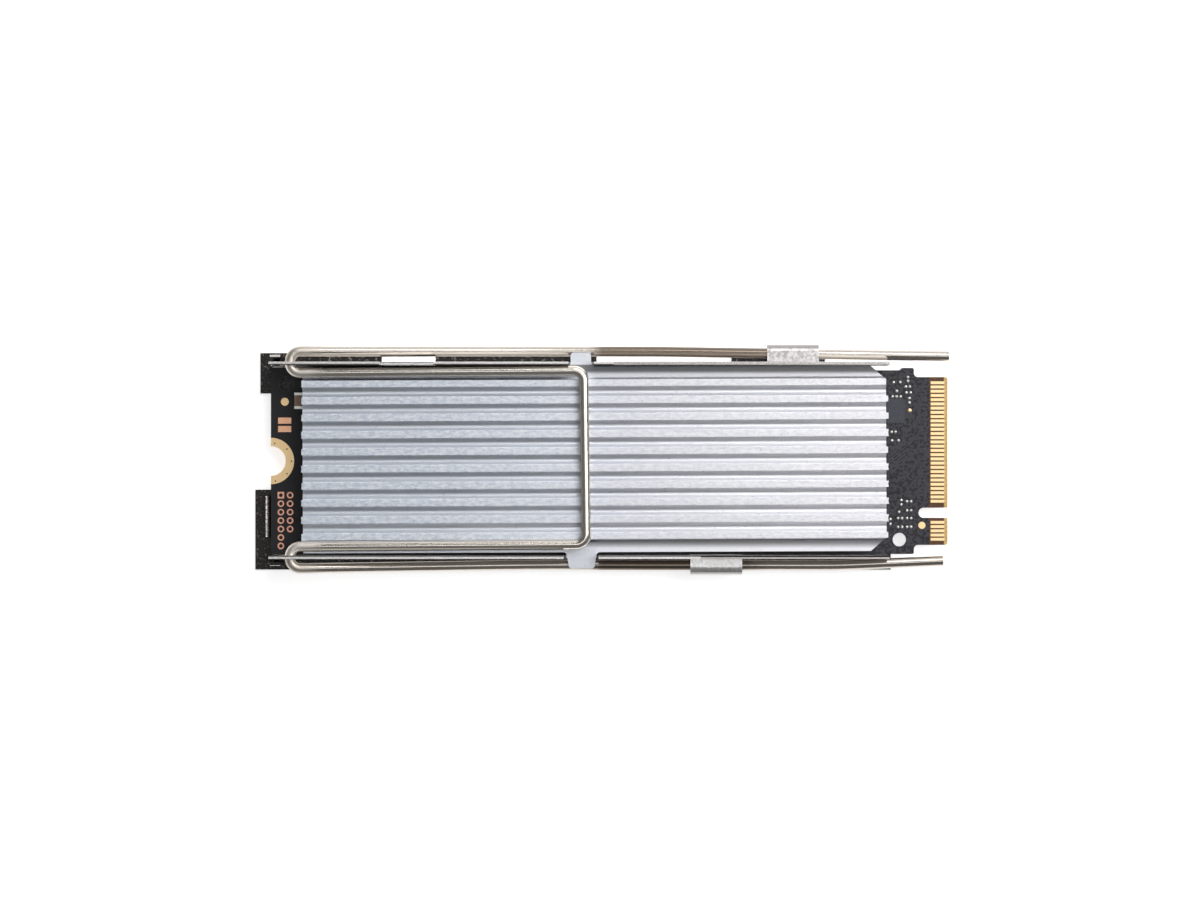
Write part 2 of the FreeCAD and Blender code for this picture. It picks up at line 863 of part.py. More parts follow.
def lower_route():
    """The same on the lower side, where the arm bows past its hook"""
    return [
        Vector(lower_end_x, outside(-1, lower_end_out), arm_end_z),
        Vector(lower_bow_x, outside(-1, lower_bow_out), arm_height(lower_bow_x)),
        Vector(knee_x, outside(-1, lower_knee_out), knee_z),
        Vector(pivot_x, outside(-1, lower_pivot_out), pivot_z),
        Vector(pivot_x, inside(-1, lower_inner_in), pivot_z),
        Vector(ear_x + lower_corner_past_ear, inside(-1, lower_corner_in), crossbar_z),
    ]


def clip_route():
    half_radii = [arm_bend_radius] * 2 + [pivot_bend_radius] * 2 + [crossbar_bend_radius]
    return upper_route() + lower_route()[::-1], half_radii + half_radii[::-1]


def wire_clip():
    points, radii = clip_route()
    edges = []
    start = points[0]
    for before, corner, after, radius in zip(points, points[1:], points[2:], radii):
        arc_start, middle, arc_end = corner_arc(before, corner, after, radius)
        add_run(edges, start, arc_start)
        edges.append(Part.Arc(arc_start, middle, arc_end).toShape())
        start = arc_end
    add_run(edges, start, points[-1])
    path = Part.Wire(edges)
    circle = Part.makeCircle(clip_wire_radius, points[0], points[1] - points[0])
    wire = path.makePipeShell([Part.Wire(circle)], True, False)
    expected = math.pi * clip_wire_radius ** 2 * path.Length
    print("clip length", round(path.Length, 2), "volume share", round(wire.Volume / expected, 4))
    return wire


def pieces():
    yield "insulating_film", insulating_film()
    yield "base_channel", base_channel()
    yield "lower_thermal_pad", thermal_pad(floor_top, board_bottom)
    yield "circuit_board", circuit_board()
    yield "top_contacts", top_contacts()
    yield "bottom_contacts", bottom_contacts()
    yield "screw_rings", screw_rings()
    yield "fiducial_marks", fiducial_marks()
    yield "test_pads", test_pads()
    yield "header_pads", header_pads()
    controller_x = (controller_left + controller_right) / 2
    yield "controller_chip", chip(controller_x, 0, controller_side, controller_side, chip_height)
    yield "cache_chip", chip((cache_left + cache_right) / 2, 0, cache_length, cache_width, chip_height)
    yield "flash_chip_1", chip(flash_left + flash_length / 2, 0, flash_length, flash_width, chip_height)
    second_flash_x = second_flash_left + flash_length / 2
    yield "flash_chip_2", chip(second_flash_x, 0, flash_length, flash_width, chip_height)
    power_y = (power_chip_side - controller_side) / 2 - power_chip_overhang_y
    yield "power_chip", chip(power_x, power_y, power_chip_side, power_chip_side, power_chip_height)
    yield "inductors", inductors()
    yield "small_capacitors", capacitors()
    yield "resistors", resistors()
    yield "large_capacitor_body", large_capacitor_body()
    yield "large_capacitor_ends", large_capacitor_ends()
    yield "upper_thermal_pad", thermal_pad(chip_top, sink_bottom)
    yield "heatsink", heatsink()
    yield "wire_clip", wire_clip()


os.makedirs("parts", exist_ok=True)
for node, shape in pieces():
    shape.exportStep("parts/" + node + ".step")
    print(node, "valid", shape.isValid(), "solids", len(shape.Solids), "volume", round(shape.Volume, 3))
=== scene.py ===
import math
import random

import bmesh
import bpy
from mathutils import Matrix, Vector


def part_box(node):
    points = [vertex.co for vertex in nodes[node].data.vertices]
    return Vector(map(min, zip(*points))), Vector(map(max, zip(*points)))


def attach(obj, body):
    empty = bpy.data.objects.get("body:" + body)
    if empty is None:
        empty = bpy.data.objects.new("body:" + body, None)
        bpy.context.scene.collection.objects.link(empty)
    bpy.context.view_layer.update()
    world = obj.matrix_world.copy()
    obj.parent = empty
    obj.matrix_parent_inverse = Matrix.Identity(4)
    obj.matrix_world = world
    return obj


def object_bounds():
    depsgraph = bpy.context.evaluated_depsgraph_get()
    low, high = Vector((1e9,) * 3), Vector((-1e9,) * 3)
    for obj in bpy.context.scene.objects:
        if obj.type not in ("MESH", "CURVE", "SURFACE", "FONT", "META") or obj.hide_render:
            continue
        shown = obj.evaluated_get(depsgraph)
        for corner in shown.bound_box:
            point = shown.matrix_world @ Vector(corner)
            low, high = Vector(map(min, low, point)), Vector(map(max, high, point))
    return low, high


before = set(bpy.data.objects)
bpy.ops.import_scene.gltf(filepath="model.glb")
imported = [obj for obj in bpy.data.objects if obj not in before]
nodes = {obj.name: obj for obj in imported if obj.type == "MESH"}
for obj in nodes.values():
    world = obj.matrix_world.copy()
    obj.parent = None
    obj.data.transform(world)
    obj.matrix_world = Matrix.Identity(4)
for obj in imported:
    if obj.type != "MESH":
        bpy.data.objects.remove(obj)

cad_low, cad_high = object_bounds()

MM = 0.001

# The photograph's scale and middle, on the board's top face
px_per_mm = 8.46
board_middle_px = (609.3, 461.0)
photo_middle_px = (600.0, 450.0)
photo_width_px = 1200.0
camera_distance = 500.0 * MM
nearest_seen = 10.0 * MM
sensor_width = 36.0

# The floor and the room
floor_half = 1.5
floor_gap = 0.05 * MM
floor_glow = 0.7
room_glow = 0.15

# The parts that the details and the local tones are placed by
board_low, board_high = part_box("circuit_board")
board_top = board_high.z
contacts_low, contacts_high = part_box("top_contacts")
sheet_low, sheet_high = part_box("base_channel")
sheet_middle_y = (sheet_low.y + sheet_high.y) / 2
sheet_half_width = (sheet_high.y - sheet_low.y) / 2
sink_low, sink_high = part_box("heatsink")
clip_low, clip_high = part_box("wire_clip")

# The channel's walls, flared ends, hooks and end stop
channel_middle_y = 0.1 * MM
wall_inner = 11.15 * MM
wall_thickness = 0.4 * MM
wall_outer = wall_inner + wall_thickness
hook_half_start = 0.5 * MM
hook_curl = 0.4 * MM
flare_length = 1.95 * MM
flap_rim = 12.25 * MM
stop_reach = 0.6 * MM
stop_inset = 1.0 * MM
face_margin = 0.05 * MM
edge_depth = 0.02 * MM
dark_edge_start_px = (700.0, 556.0)
rest_tab_left_px = (381.5, 361.0)
rest_tab_right_px = (435.2, 361.0)

# The heatsink's ribs and their ragged sawn ends
rib_count = 10
rib_pitch = 2.0 * MM
first_rib_y = 9.2 * MM
rib_width = 0.8 * MM
flange_depth = 0.5 * MM
sink_skew = 0.25
burr_depth = 0.4 * MM
burr_root = 0.5 * MM
burr_drop = 0.01 * MM
right_burr = 0.24 * MM
left_burr = 0.12 * MM

# Solder points: each row's height in the photograph, and the places along it
disc_sides = 16
bead_leans = (0.0, 30.0, 60.0)
solder_point_radius = 0.18 * MM
solder_point_height = 0.10 * MM
golden_point_px = (909.6, 410.5)
golden_point_radius = 0.26 * MM
point_rows_px = [
    (377.2, [908.0]),
    (381.0, [908.0]),
    (382.2, [893.5, 900.2]),
    (386.6, [906.0, 909.8]),
    (391.0, [896.8]),
    (392.6, [906.5, 910.8]),
    (396.6, [892.5, 896.7, 900.6]),
    (398.2, [909.6]),
    (402.6, [909.6]),
    (432.0, [891.5, 895.5]),
    (440.5, [892.0, 898.5]),
    (500.2, [901.2]),
    (501.5, [907.0, 911.0]),
    (504.5, [901.2]),
    (510.5, [907.0, 911.0]),
    (512.0, [899.0]),
    (518.3, [898.0, 902.0, 907.0, 911.0]),
    (519.2, [890.3]),
    (524.0, [890.3]),
    (527.0, [898.0, 902.0, 907.0, 911.0]),
]

# The thin flat package and its leads
package_low_px = (887.0, 423.0)
package_high_px = (905.0, 399.0)
package_height = 0.05 * MM
lead_first_px = (888.5, 424.0)
lead_step_px = 4.8
lead_count = 4
lead_length = 0.22 * MM
lead_height = 0.06 * MM

# The bare laminate around the edge contacts, and the tracks under the mask beside them
laminate_margin = 0.15 * MM
bevel_margin = 0.05 * MM
tracks_under_sink = 1.0 * MM
track_count = 44
track_width = 0.11 * MM
track_height = 0.02 * MM
track_gap = 0.4 * MM
shortest_run = 0.4 * MM
run_step = 0.3 * MM
shortest_slant = 0.7 * MM
slant_step = 0.35 * MM
notch_middle_y = contacts_low.y + 3.3 * MM
notch_clearance = 1.6 * MM
lowest_track_y = -4.2 * MM
slanted_first_px = (890.0, 452.0)
slanted_count = 7
slanted_pitch = 0.42 * MM
slanted_length = 1.9 * MM
slanted_rise = 0.8

# Holes and rings at the board's other end
ring_vias_px = [(274.8, 443.3), (287.0, 449.1), (291.6, 461.2), (287.0, 473.7), (275.5, 481.0)]
ring_via_radius = 0.085 * MM
ring_via_depth = 0.01 * MM
ring_via_height = 0.004 * MM
locating_hole_px = (286.4, 384.0)
locating_ring_radius = 0.88 * MM
locating_ring_width = 0.08 * MM
locating_ring_height = 0.015 * MM
header_counts = (7, 5)
header_pad_radius = 0.39 * MM
header_hole_radius = 0.24 * MM
header_hole_depth = 0.15 * MM
header_hole_floor = 0.1 * MM


def on_board(px, py):
    """The place on the board's top face that shows at a pixel of the photograph"""
    x = (px - board_middle_px[0]) / px_per_mm * MM
    y = (board_middle_px[1] - py) / px_per_mm * MM
    return Vector((x, y, board_top))


# Materials

class Material:
    """A node material under construction, with its main shader. A mask is 1 in its region and 0 elsewhere."""

    def __init__(self, name):
        self.material = bpy.data.materials.new(name)
        self.material.use_nodes = True
        self.tree = self.material.node_tree
        self.shader = self.tree.nodes["Principled BSDF"]
        self.coordinates = self.add("ShaderNodeTexCoord").outputs["Object"]

    def add(self, kind, **inputs):
        node = self.tree.nodes.new(kind)
        for key, value in inputs.items():
            node.inputs[key.replace("_", " ")].default_value = value
        return node

    def link(self, source, target):
        self.tree.links.new(source, target)

    def set(self, name, value):
        self.shader.inputs[name].default_value = value

    def drive(self, name, source):
        self.link(source, self.shader.inputs[name])

    def noise(self, features_per_mm, stretch=(1, 1, 1), detail=3.0, roughness=0.5, shift=0.0):
        """Noise with so many features a millimetre; a stretch under 1 draws it out along that axis"""
        mapping = self.add("ShaderNodeMapping")
        mapping.inputs["Scale"].default_value = [s * features_per_mm / MM for s in stretch]
        mapping.inputs["Location"].default_value = (shift, shift, shift)
        self.link(self.coordinates, mapping.inputs["Vector"])
        noise = self.add("ShaderNodeTexNoise", Scale=1.0, Detail=detail, Roughness=roughness)
        self.link(mapping.outputs["Vector"], noise.inputs["Vector"])
        return noise.outputs["Fac"]

    def ramp(self, source, stops):
        """A colour ramp whose stops are (place, grey or colour)"""
        ramp = self.add("ShaderNodeValToRGB")
        elements = ramp.color_ramp.elements
        while len(elements) < len(stops):
            elements.new(0.5)
        for element, (place, colour) in zip(elements, stops):
            element.position = place
            element.color = rgba(colour)
        self.link(source, ramp.inputs["Fac"])
        return ramp.outputs["Color"]

    def mix(self, factor, first, second, blend="MIX"):
        """A blend of two colours, each one a socket or a value"""
        node = self.tree.nodes.new("ShaderNodeMix")
        node.data_type = "RGBA"
        node.blend_type = blend
        for index, value in ((0, factor), (6, first), (7, second)):
            if isinstance(value, bpy.types.NodeSocket):
                self.link(value, node.inputs[index])
            elif index == 0:
                node.inputs[index].default_value = value
            else:
                node.inputs[index].default_value = rgba(value)
        return node.outputs[2]

    def tint(self, colour, by, factor=1.0):
        """A colour multiplied by another one"""
        return self.mix(factor, colour, by, "MULTIPLY")

    def math(self, operation, first, second):
        node = self.tree.nodes.new("ShaderNodeMath")
        node.operation = operation
        for index, value in enumerate((first, second)):
            if isinstance(value, bpy.types.NodeSocket):
                self.link(value, node.inputs[index])
            else:
                node.inputs[index].default_value = value
        return node.outputs[0]

    def add_up(self, first, second):
        return self.math("ADD", first, second)

    def both(self, first, second):
        """Where two masks hold, or a value scaled by another one"""
        return self.math("MULTIPLY", first, second)

    def either(self, first, second):
        return self.math("MAXIMUM", first, second)

    def opposite(self, mask):
        return self.math("SUBTRACT", 1.0, mask)

    def place(self, axis):
        """The place along an axis of the piece's own frame"""
        parts = self.add("ShaderNodeSeparateXYZ")
        self.link(self.coordinates, parts.inputs[0])
        return parts.outputs[axis]

    def share(self, axis, start, end):
        """How far a place is from the start to the end along an axis: 0 at the start and 1 at the end"""
        return self.math("DIVIDE", self.math("SUBTRACT", self.place(axis), start), end - start)

    def past(self, axis, limit):
        return self.math("GREATER_THAN", self.place(axis), limit)

    def before(self, axis, limit):
        return self.math("LESS_THAN", self.place(axis), limit)

    def off(self, axis, middle=0.0):
        """The distance from a middle along an axis"""
        return self.math("ABSOLUTE", self.math("SUBTRACT", self.place(axis), middle), 0.0)

    def beyond(self, distance, limit):
        return self.math("GREATER_THAN", distance, limit)

    def within(self, distance, limit):
        return self.math("LESS_THAN", distance, limit)

    def bump(self, height, strength, distance_mm):
        bump = self.add("ShaderNodeBump", Strength=strength, Distance=distance_mm * MM)
        self.link(height, bump.inputs["Height"])
        self.drive("Normal", bump.outputs["Normal"])


def rgba(colour):
    if isinstance(colour, (int, float)):
        return (colour, colour, colour, 1.0)
    return (*colour, 1.0)


def flange_shade(m):
    """The darker strips along the heatsink's flanges, in the walls' shadow"""
    upper = m.ramp(m.share("Y", 0.0, wall_outer), [(0.885, 1.0), (0.915, 0.28), (0.975, 0.28), (0.985, 1.0)])
    lower = m.ramp(m.share("Y", 0.0, -wall_outer), [(0.825, 0.32), (0.845, 0.45), (0.885, 1.0)])
    return m.mix(m.before("Y", 0.0), upper, lower)


def extruded_aluminium():
    """Bright raw aluminium: lines along the extrusion, and rib tops mottled and scuffed by handling; painted
    shade darkens the rib tops and the grooves towards the left, and strips along the flanges
    """
    m = Material("extruded_aluminium")
    lines = m.noise(2.2, (0.03, 1, 1), detail=5)
    grain = m.noise(5.0, (0.5, 1, 1), detail=4, roughness=0.7)
    mottle = m.noise(3.0, (0.4, 1, 1), detail=5, roughness=0.75, shift=3.0)
    clouds = m.noise(0.12, (0.5, 1, 1), detail=3)
    along = m.share("X", board_low.x, board_high.x)
    rib_top = m.past("Z", sink_high.z - face_margin)
    flange = m.before("Z", sink_high.z - flange_depth)
    ribbed = m.within(m.off("Y"), first_rib_y + rib_width / 2)
    groove = m.both(ribbed, m.opposite(rib_top))

    smooth = m.mix(clouds, (0.83, 0.85, 0.89), (0.94, 0.95, 0.97))
    # Painted shade: the rib tops are painted darker and bluer towards the left
    towards_left = m.ramp(m.share("X", 0.0, -board_high.x), [(0.0, 0.15), (0.5, 1.0)])
    tops_shaded_left = m.mix(towards_left, (0.86, 0.88, 0.92), (0.74, 0.78, 0.84))
    scuffs = m.ramp(mottle, [(0.42, 0.0), (0.58, 1.0)])
    tops = m.mix(scuffs, tops_shaded_left, (0.98, 0.99, 1.0))
    base = m.mix(rib_top, smooth, tops)
    base = m.mix(flange, base, m.tint(base, flange_shade(m)))
    cast = m.ramp(along, [(0.10, (0.92, 0.95, 1.0)), (0.40, (0.94, 0.96, 1.0)), (0.60, (0.97, 0.965, 0.985)),
                          (0.80, (0.99, 0.97, 0.985))])
    base = m.tint(base, cast)
    depth_shade = m.ramp(along, [(0.25, 0.80), (0.75, 1.0)])
    base = m.mix(groove, base, m.tint(base, depth_shade))
    specks = m.ramp(grain, [(0.30, 0.6), (0.40, 1.0), (1.0, 1.0)])
    m.drive("Base Color", m.tint(base, specks, 0.8))

    m.drive("Roughness", m.ramp(lines, [(0.25, 0.42), (0.75, 0.58)]))
    m.set("Metallic", 1.0)
    dents = m.both(mottle, m.both(rib_top, 1.2))
    m.bump(m.add_up(m.add_up(lines, m.both(grain, 0.8)), dents), 0.3, 0.05)
    return m.material


def hammered_hooks(m, dents, lower_side):
    """The hooks' beaten faces, with painted light: the upper one painted darker as shade, the lower one
    brighter, and their curled ends painted darker as shade
    """
    # Painted light: the upper hook is painted darker, the lower one lighter and the curl darker, for how the
    # light falls on them
    upper_hook_shaded = m.ramp(dents, [(0.35, (0.42, 0.40, 0.40)), (0.60, (0.74, 0.72, 0.71))])
    lower_hook_lit = m.ramp(dents, [(0.35, (0.78, 0.76, 0.75)), (0.60, (1.0, 1.0, 1.0))])
    curl = m.beyond(m.off("Y", sheet_middle_y), sheet_half_width - hook_curl)
    return m.mix(curl, m.mix(lower_side, upper_hook_shaded, lower_hook_lit), (0.42, 0.40, 0.39))


def sheared_edges(m, grain, out, hook_half, lower_side, over_tab):
    """The walls' top edges: a speckled burr with painted shade on its inner part, darker on the upper right,
    darker brown on the lower right, and painted shade in the crease over the rest tab
    """
    through = m.math("DIVIDE", m.math("SUBTRACT", out, wall_inner), wall_thickness)
    sheared = m.ramp(grain, [(0.38, (0.42, 0.39, 0.38)), (0.50, (0.80, 0.78, 0.76)),
                             (0.62, (0.97, 0.95, 0.93))])
    # Painted shade: the inner part of the edge is painted near black
    inner_edge_shade = m.ramp(through, [(0.28, 0.10), (0.42, 1.0)])
    bright = m.tint(m.mix(0.5, sheared, (1.0, 0.98, 0.96)), inner_edge_shade)
    dull = m.mix(0.5, sheared, (0.20, 0.17, 0.16))
    # The edge is painted darker on the upper right
    upper_right = m.both(hook_half, m.opposite(lower_side))
    darker_upper_right = m.mix(m.both(upper_right, 0.75), bright, dull)

    # The edge is painted darker brown on the lower right, and its inner part near black as painted shade
    lower_right_speckle = m.ramp(grain, [(0.50, (0.05, 0.035, 0.03)), (0.62, (0.30, 0.22, 0.19)),
                           (0.70, (0.9, 0.85, 0.83))])
    lower_right_inner_shade = m.ramp(through, [(0.38, 0.02), (0.55, 0.9)])
    darker_lower_right = m.tint(m.mix(0.6, lower_right_speckle, (0.9, 0.85, 0.83)), lower_right_inner_shade)
    lower_right = m.both(m.past("X", on_board(*dark_edge_start_px).x), lower_side)
    # Painted shade in the crease over the rest tab
    crease_shade = m.ramp(through, [(0.60, 0.78), (0.72, 0.40), (0.95, 0.40), (1.0, 0.76)])
    return m.mix(over_tab, m.mix(lower_right, darker_upper_right, darker_lower_right), crease_shade)


def stop_edge(m, grain):
    """The end stop's speckled edge, painted near black next to the board as painted shade, with one bright
    burr: its mask and its colour
    """
    before_board = m.share("X", board_low.x, board_low.x - stop_reach)
    # Painted shade: the part of the stop next to the board is painted near black
    across = m.ramp(before_board, [(0.60, (0.05, 0.04, 0.04)), (0.78, (0.62, 0.57, 0.55))])
    speckled = m.tint(across, m.ramp(grain, [(0.44, 0.25), (0.58, 1.0)]))
    between_walls = m.within(m.off("Y"), wall_inner - stop_inset)
    return m.both(between_walls, m.before("X", board_low.x)), speckled


def plated_sheet():
    """Polished sheet steel with speckled sheared edges, hammered on the hooks and darker along the right of
    one wall's edge; painted shade and reflections on the edges, the hooks, the end stop and the flared flaps
    """
    m = Material("plated_sheet")
    grain = m.noise(6.0, detail=4, roughness=0.7)
    dents = m.noise(2.4, detail=3, roughness=0.6, shift=5.0)
    clouds = m.noise(0.8, detail=3)
    out = m.off("Y", channel_middle_y)
    edge = m.past("Z", sheet_high.z - edge_depth)
    hook_half = m.past("X", hook_half_start)
    lower_side = m.before("Y", 0.0)
    outside = m.beyond(out, wall_outer + face_margin)
    hooks = m.both(hook_half, outside)
    past_tab_left = m.past("X", on_board(*rest_tab_left_px).x)
    before_tab_right = m.before("X", on_board(*rest_tab_right_px).x)
    over_tab = m.both(m.both(past_tab_left, before_tab_right), m.past("Y", 0.0))
    flare = m.before("X", sheet_low.x + flare_length)
    short_of_rim = m.within(m.off("Y"), flap_rim)

    polished = m.mix(clouds, (0.78, 0.77, 0.76), (0.90, 0.89, 0.87))
    faces = m.mix(hooks, polished, hammered_hooks(m, dents, lower_side))
    rims = sheared_edges(m, grain, out, hook_half, lower_side, over_tab)
    colour = m.mix(edge, faces, rims)
    colour = m.mix(m.both(flare, m.opposite(short_of_rim)), colour, (0.42, 0.40, 0.39))
    # Painted reflection: the flared flaps' faces inside their rims are painted near black for the dark board
    # they mirror
    colour = m.mix(m.both(m.both(flare, outside), short_of_rim), colour, 0.015)
    stop, stop_colour = stop_edge(m, grain)
    m.drive("Base Color", m.mix(stop, colour, stop_colour))

    mirror = m.either(m.either(flare, m.both(outside, m.opposite(hook_half))), over_tab)
    satin = m.mix(mirror, m.ramp(grain, [(0.3, 0.28), (0.7, 0.42)]), 0.12)
    m.drive("Roughness", m.mix(m.both(edge, m.opposite(over_tab)), satin, 0.28))
    m.set("Metallic", 1.0)
    m.bump(m.add_up(m.both(grain, m.add_up(edge, 0.15)), m.both(dents, hooks)), 0.4, 0.06)
    return m.material


def spring_wire():
    """Drawn stainless wire: warm grey, with fine lines and faint die marks; the outer arms are painted darker
    than the rest of the wire, and darker still along stretches, as painted shade and dark reflections
    """
    m = Material("spring_wire")
    drawn = m.noise(9.0, (0.02, 1, 1), detail=4)
    marks = m.noise(0.9, (0.05, 1, 1), detail=3)
    along = m.share("X", clip_low.x, clip_high.x)
    arms = m.beyond(m.off("Y"), wall_inner)

    # Painted shade: stretches of the arms are painted darker for the dark reflections they show
    shade = (0.38, 0.34, 0.31)
    upper_tone = m.ramp(along, [(0.455, 1.0), (0.475, shade), (0.74, shade), (0.80, 1.0)])
    lower_tone = m.ramp(along, [(0.455, 1.0), (0.475, shade), (0.67, shade), (0.73, 1.0)])
    tone = m.mix(m.before("Y", 0.0), upper_tone, lower_tone)
    # Painted light: the outer arms get a darker copy of the wire's colour, the rest of the wire a lighter one
    arms_painted_darker = m.mix(marks, (0.54, 0.48, 0.42), (0.70, 0.65, 0.59))
    loop_painted_lighter = m.mix(marks, (0.70, 0.64, 0.57), (0.92, 0.87, 0.80))
    base = m.mix(arms, loop_painted_lighter, m.tint(arms_painted_darker, tone))
    m.drive("Base Color", m.tint(base, m.ramp(drawn, [(0.3, 0.6), (0.6, 1.0)]), 0.15))

    bend = m.ramp(along, [(0.0, 1.0), (0.035, 1.0), (0.06, 0.0)])
    m.drive("Roughness", m.mix(bend, m.ramp(drawn, [(0.25, 0.18), (0.75, 0.23)]), 0.48))
    m.set("Metallic", 1.0)
    m.bump(drawn, 0.01, 0.02)
    return m.material


def solder_mask():
    """Matte black solder mask, with the bare laminate between the contacts and on the bevelled edge"""
    m = Material("solder_mask")
    weave = m.noise(4.0, detail=2)
    patches = m.noise(0.35, detail=2)
    copper = m.noise(2.8, detail=1, shift=1.0)
    near_contacts = m.past("X", sink_high.x - tracks_under_sink)
    between = m.past("X", contacts_low.x - laminate_margin)
    bevel = m.past("X", contacts_high.x - bevel_margin)

    mask = m.mix(patches, (0.007, 0.0075, 0.010), (0.014, 0.015, 0.020))
    buried = m.ramp(copper, [(0.44, (0.012, 0.011, 0.015)), (0.54, (0.050, 0.047, 0.060))])
    laminate = m.mix(weave, (0.09, 0.034, 0.012), (0.16, 0.066, 0.026))
    cut_edge = m.mix(weave, (0.56, 0.36, 0.11), (0.80, 0.55, 0.23))
    base = m.mix(bevel, m.mix(between, m.mix(near_contacts, mask, buried), laminate), cut_edge)
    m.drive("Base Color", m.tint(base, m.ramp(weave, [(0.3, 0.7), (0.7, 1.2)]), 0.5))
    m.drive("Roughness", m.ramp(weave, [(0.3, 0.38), (0.7, 0.5)]))
    m.set("Specular IOR Level", 0.4)
    m.bump(weave, 0.15, 0.02)
    return m.material


def gold_plating():
    """Thin hard gold, satin, with rubbed lines along the contact"""
    m = Material("gold_plating")
    rubbed = m.noise(12.0, (0.1, 1, 1), detail=3)
    m.drive("Base Color", m.mix(rubbed, (1.0, 0.66, 0.32), (1.0, 0.80, 0.48)))
    m.drive("Roughness", m.ramp(rubbed, [(0.3, 0.30), (0.7, 0.42)]))
    m.set("Metallic", 1.0)
    m.bump(rubbed, 0.1, 0.01)
    return m.material


def bare_copper():
    """Slightly tarnished copper, more so on the rings of the plated holes than on the two pads"""
    m = Material("bare_copper")
    tarnish = m.noise(3.0, detail=4)
    pads = m.mix(tarnish, (1.0, 0.50, 0.31), (1.0, 0.62, 0.41))
    rings = m.mix(tarnish, (0.88, 0.43, 0.31), (1.0, 0.56, 0.42))
    m.drive("Base Color", m.mix(m.before("Y", 0.0), pads, rings))
    m.drive("Roughness", m.ramp(tarnish, [(0.3, 0.3), (0.7, 0.45)]))
    m.set("Metallic", 1.0)
    m.bump(tarnish, 0.1, 0.01)
    return m.material


def black_film():
    """Glossy black film with fine scratches and dust"""
    m = Material("black_film")
    dust = m.noise(2.4, detail=5, roughness=0.85)
    scratches = m.noise(1.5, (0.08, 1.6, 1), detail=3)
    flecks = m.ramp(dust, [(0.565, 0.0), (0.60, 1.0)])
    base = m.mix(scratches, (0.006, 0.005, 0.005), (0.016, 0.012, 0.011))
    m.drive("Base Color", m.mix(flecks, base, (0.30, 0.27, 0.25)))
    m.drive("Roughness", m.ramp(dust, [(0.4, 0.22), (0.7, 0.5)]))
    m.set("Specular IOR Level", 0.35)
    m.bump(m.add_up(dust, scratches), 0.25, 0.03)
    return m.material


def mask_over_copper():
    """Solder mask where it lies over copper, a little lighter and glossier"""
    m = Material("mask_over_copper")
    tone = m.noise(3.0, detail=2)
    m.drive("Base Color", m.mix(tone, (0.030, 0.028, 0.035), (0.062, 0.058, 0.070)))
    m.set("Roughness", 0.36)
    return m.material


def package_resin():
    """The thin package's resin, a bluer black than the other chips"""
    m = Material("flat_package")
    tone = m.noise(3.0, detail=3)
    m.drive("Base Color", m.mix(tone, (0.030, 0.031, 0.045), (0.062, 0.064, 0.088)))
    m.set("Roughness", 0.4)
    return m.material


def chip_resin():
    """Black moulding resin, finely pitted"""
    m = Material("chip_resin")
    pits = m.noise(8.0, detail=3)
    m.drive("Base Color", m.mix(pits, (0.016, 0.016, 0.017), (0.035, 0.035, 0.037)))
    m.drive("Roughness", m.ramp(pits, [(0.3, 0.5), (0.7, 0.7)]))
    m.bump(pits, 0.3, 0.03)
    return m.material


def capacitor_ceramic():
    m = Material("capacitor_ceramic")
    grain = m.noise(6.0, detail=3)
    m.drive("Base Color", m.mix(grain, (0.28, 0.17, 0.10), (0.42, 0.28, 0.18)))
    m.drive("Roughness", m.ramp(grain, [(0.3, 0.35), (0.7, 0.55)]))
    m.bump(grain, 0.2, 0.02)
    return m.material


def tinned_ends():
    m = Material("tinned_ends")
    grain = m.noise(7.0, detail=3)
    m.drive("Base Color", m.mix(grain, (0.80, 0.79, 0.76), (0.98, 0.97, 0.93)))
    m.drive("Roughness", m.ramp(grain, [(0.3, 0.3), (0.7, 0.5)]))
    m.set("Metallic", 1.0)
    m.bump(grain, 0.3, 0.03)
    return m.material


def ferrite():
    m = Material("ferrite")
    grain = m.noise(9.0, detail=4)
    m.drive("Base Color", m.mix(grain, (0.10, 0.10, 0.105), (0.20, 0.20, 0.21)))
    m.drive("Roughness", m.ramp(grain, [(0.3, 0.55), (0.7, 0.8)]))
    m.bump(grain, 0.4, 0.03)
    return m.material


def thermal_pad():
    """Soft silicone pad, blue-grey and slightly tacky"""
    m = Material("thermal_pad")
    grain = m.noise(2.5, detail=4)
    m.drive("Base Color", m.mix(grain, (0.26, 0.30, 0.34), (0.36, 0.40, 0.44)))
    m.drive("Roughness", m.ramp(grain, [(0.3, 0.6), (0.7, 0.85)]))
    m.bump(grain, 0.4, 0.05)
    return m.material


def seamless_floor():
    """A pale light table, which keeps the shadows faint"""
    m = Material("seamless_floor")
    tone = m.noise(0.01, detail=2)
    m.drive("Base Color", m.mix(tone, 0.90, 0.93))
    m.set("Roughness", 0.9)
    m.set("Emission Color", (1, 1, 1, 1))
    m.set("Emission Strength", floor_glow)
    return m.material


def finish_nodes():
    """Gives every slot of the CAD nodes its material, and returns the materials by slot"""
    makers = (extruded_aluminium, plated_sheet, spring_wire, solder_mask, gold_plating, bare_copper,
              black_film, chip_resin, capacitor_ceramic, tinned_ends, ferrite, thermal_pad)
    finishes = {maker.__name__: maker() for maker in makers}
    for node in nodes.values():
        for index, old in enumerate(node.data.materials):
            slot = old.name.split(".")[0]
            node.data.materials[index] = finishes[slot]
    return finishes


# Scene

def add_mesh(name, build):
    mesh = bpy.data.meshes.new(name)
    bm = bmesh.new()
    build(bm)
    bm.to_mesh(mesh)
    bm.free()
    piece = bpy.data.objects.new(name, mesh)
    bpy.context.scene.collection.objects.link(piece)
    return piece


